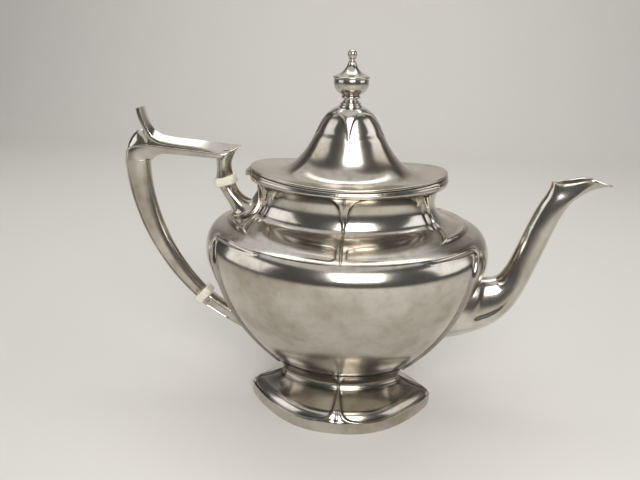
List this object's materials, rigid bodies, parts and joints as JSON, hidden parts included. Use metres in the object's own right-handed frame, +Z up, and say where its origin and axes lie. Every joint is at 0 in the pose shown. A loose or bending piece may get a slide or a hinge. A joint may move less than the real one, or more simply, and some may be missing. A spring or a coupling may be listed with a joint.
{
  "type": "teapot",
  "caption": "Oval silver-plated teapot on a pedestal foot, with a hinged bell lid, an urn knob, a gooseneck spout and an angular handle with white heat breaks.",
  "frame": {"origin": "middle of the foot, on the table", "axes": "+X along the spout, away from the handle; +Z up"},
  "size_m": [0.2732, 0.1262, 0.215],
  "materials": {
    "silver_plate": "polished silver plate, hazed by light tarnish and fine scratches",
    "pin_metal": "drawn nickel silver wire, dulled",
    "bone": "satin bone"
  },
  "bodies": {
    "pot": {"foot_rim": "silver_plate", "foot": "silver_plate", "bowl": "silver_plate", "shoulder": "silver_plate", "neck_rim": "silver_plate", "spout": "silver_plate", "spout_strainer": "silver_plate", "body_hinge_leaf": "silver_plate", "hinge_pin": "pin_metal", "handle_top_bar": "silver_plate", "handle_grip": "silver_plate", "upper_socket": "silver_plate", "lower_socket": "silver_plate", "upper_insulator": "bone", "lower_insulator": "bone", "upper_insulator_pins": "pin_metal", "lower_insulator_pins": "pin_metal"},
    "lid": {"lid": "silver_plate", "lid_bezel": "silver_plate", "lid_hinge_leaf": "silver_plate", "finial_collar": "silver_plate", "finial": "silver_plate", "finial_stud": "pin_metal", "finial_nut": "pin_metal"}
  },
  "joints": [
    {"name": "lid_hinge", "type": "hinge", "parent": "pot", "child": "lid", "pos_m": [-0.0555, 0, 0.1482], "axis": [0, -1, 0], "range_deg": [0, 90]}
  ]
}
